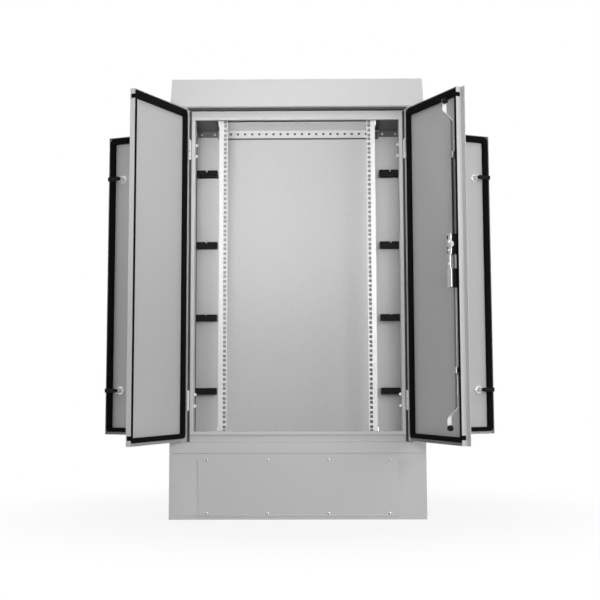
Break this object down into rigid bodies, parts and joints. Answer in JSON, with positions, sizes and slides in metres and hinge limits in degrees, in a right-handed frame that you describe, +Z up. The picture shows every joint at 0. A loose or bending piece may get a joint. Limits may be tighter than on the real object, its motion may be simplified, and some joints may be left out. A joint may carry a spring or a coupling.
{
  "type": "roadside utility cabinet",
  "caption": "Sheet-steel roadside equipment cabinet on a plinth, with a pair of front doors closed by a rod lock, rear-hinged side doors and rack rails inside.",
  "frame": {"origin": "on the ground in the middle of the plinth's anchor holes", "axes": "+Z up, the front with the pair of doors faces -Y, +X to the right as seen from the front"},
  "size_m": [1.3592, 0.8396, 1.39],
  "materials": {
    "grey_paint": "light grey powder coat",
    "zinc": "bright zinc plate",
    "dark_steel": "dark paint",
    "foam_rubber": "matt foam rubber",
    "black_plastic": "moulded black plastic",
    "chrome": "bright plate",
    "black_steel": "black paint"
  },
  "bodies": {
    "cabinet": {"plinth_frame": "grey_paint", "plinth_cover": "grey_paint", "plinth_cover_screws": "zinc", "body_bolts": "zinc", "base_plate": "grey_paint", "cable_entry_plate": "grey_paint", "front_frame": "grey_paint", "left_side_frame": "grey_paint", "left_side_rim": "grey_paint", "right_side_frame": "grey_paint", "right_side_rim": "grey_paint", "rear_wall": "grey_paint", "top_plate": "dark_steel", "roof_cap": "grey_paint", "roof_screws": "zinc", "left_rail": "zinc", "right_rail": "zinc", "rail_feet": "zinc", "rear_bar": "zinc", "corner_angles": "dark_steel", "corner_angle_screws": "zinc", "left_cable_rings": "black_plastic", "right_cable_rings": "black_plastic", "hinge_frame_leaves": "zinc", "hinge_pins": "zinc", "hinge_nuts": "zinc"},
    "left_leaf": {"left_door": "grey_paint", "left_door_gasket": "foam_rubber", "left_door_seal_blocks": "foam_rubber", "left_door_hinge_leaves": "zinc"},
    "right_leaf": {"right_door": "grey_paint", "right_door_gasket": "foam_rubber", "right_door_seal_blocks": "foam_rubber", "right_door_hinge_leaves": "zinc", "overlap_strip": "grey_paint", "handle_escutcheon": "black_plastic", "lock_gearbox": "black_plastic", "gearbox_plate": "chrome", "handle_bracket": "dark_steel", "rod_guides": "zinc"},
    "upper_rod": {"upper_rod": "zinc"},
    "lower_rod": {"lower_rod": "zinc"},
    "upper_roller": {"upper_roller": "black_plastic"},
    "lower_roller": {"lower_roller": "black_plastic"},
    "handle_spindle": {"handle_spindle": "zinc"},
    "handle_lever": {"handle_lever": "black_plastic"},
    "left_side_leaf": {"left_side_door": "grey_paint", "left_side_gasket": "foam_rubber", "left_side_hinge_leaves": "zinc", "left_side_lock_housings": "chrome"},
    "right_side_leaf": {"right_side_door": "grey_paint", "right_side_gasket": "foam_rubber", "right_side_hinge_leaves": "zinc", "right_side_lock_housings": "chrome"},
    "left_upper_cam": {"left_upper_cam": "black_steel"},
    "left_lower_cam": {"left_lower_cam": "black_steel"},
    "right_upper_cam": {"right_upper_cam": "black_steel"},
    "right_lower_cam": {"right_lower_cam": "black_steel"}
  },
  "joints": [
    {"name": "left_door_swing", "type": "hinge", "parent": "cabinet", "child": "left_leaf", "pos_m": [-0.3545, -0.197, 0.766], "axis": [0, 0, -1], "range_deg": [-112, 8]},
    {"name": "right_door_swing", "type": "hinge", "parent": "cabinet", "child": "right_leaf", "pos_m": [0.3545, -0.197, 0.766], "axis": [0, 0, 1], "range_deg": [-112, 8]},
    {"name": "handle_turn", "type": "hinge", "parent": "right_leaf", "child": "handle_spindle", "pos_m": [0.47512, -0.49555, 0.823], "axis": [0.9272, 0.3746, 0], "range_deg": [-90, 0]},
    {"name": "handle_lift", "type": "hinge", "parent": "handle_spindle", "child": "handle_lever", "pos_m": [0.48903, -0.48993, 0.823], "axis": [0, 0, -1], "range_deg": [0, 28]},
    {"name": "upper_rod_slide", "type": "slide", "parent": "right_leaf", "child": "upper_rod", "axis": [0, 0, 1], "range_m": [0, 0.024]},
    {"name": "lower_rod_slide", "type": "slide", "parent": "right_leaf", "child": "lower_rod", "axis": [0, 0, -1], "range_m": [0, 0.024]},
    {"name": "upper_roller_spin", "type": "hinge", "parent": "upper_rod", "child": "upper_roller", "pos_m": [0.44054, -0.50953, 1.248], "axis": [0.3746, -0.9272, 0], "continuous": true},
    {"name": "lower_roller_spin", "type": "hinge", "parent": "lower_rod", "child": "lower_roller", "pos_m": [0.44054, -0.50953, 0.2905], "axis": [0.3746, -0.9272, 0], "continuous": true},
    {"name": "left_side_swing", "type": "hinge", "parent": "cabinet", "child": "left_side_leaf", "pos_m": [-0.397, 0.1545, 0.766], "axis": [0, 0, -1], "range_deg": [-117, 3]},
    {"name": "right_side_swing", "type": "hinge", "parent": "cabinet", "child": "right_side_leaf", "pos_m": [0.397, 0.1545, 0.766], "axis": [0, 0, 1], "range_deg": [-117, 3]},
    {"name": "left_upper_cam_turn", "type": "hinge", "parent": "left_side_leaf", "child": "left_upper_cam", "pos_m": [-0.63827, 0.24376, 1.137], "axis": [-0.454, -0.891, 0], "range_deg": [0, 90]},
    {"name": "left_lower_cam_turn", "type": "hinge", "parent": "left_side_leaf", "child": "left_lower_cam", "pos_m": [-0.63827, 0.24376, 0.392], "axis": [0.454, 0.891, 0], "range_deg": [0, 90]},
    {"name": "right_upper_cam_turn", "type": "hinge", "parent": "right_side_leaf", "child": "right_upper_cam", "pos_m": [0.63827, 0.24376, 1.137], "axis": [-0.454, 0.891, 0], "range_deg": [0, 90]},
    {"name": "right_lower_cam_turn", "type": "hinge", "parent": "right_side_leaf", "child": "right_lower_cam", "pos_m": [0.63827, 0.24376, 0.392], "axis": [0.454, -0.891, 0], "range_deg": [0, 90]}
  ],
  "couplings": [
    {"joint": "upper_rod_slide", "follows": "handle_turn", "m_per_rad": -0.015279},
    {"joint": "lower_rod_slide", "follows": "handle_turn", "m_per_rad": -0.015279}
  ]
}
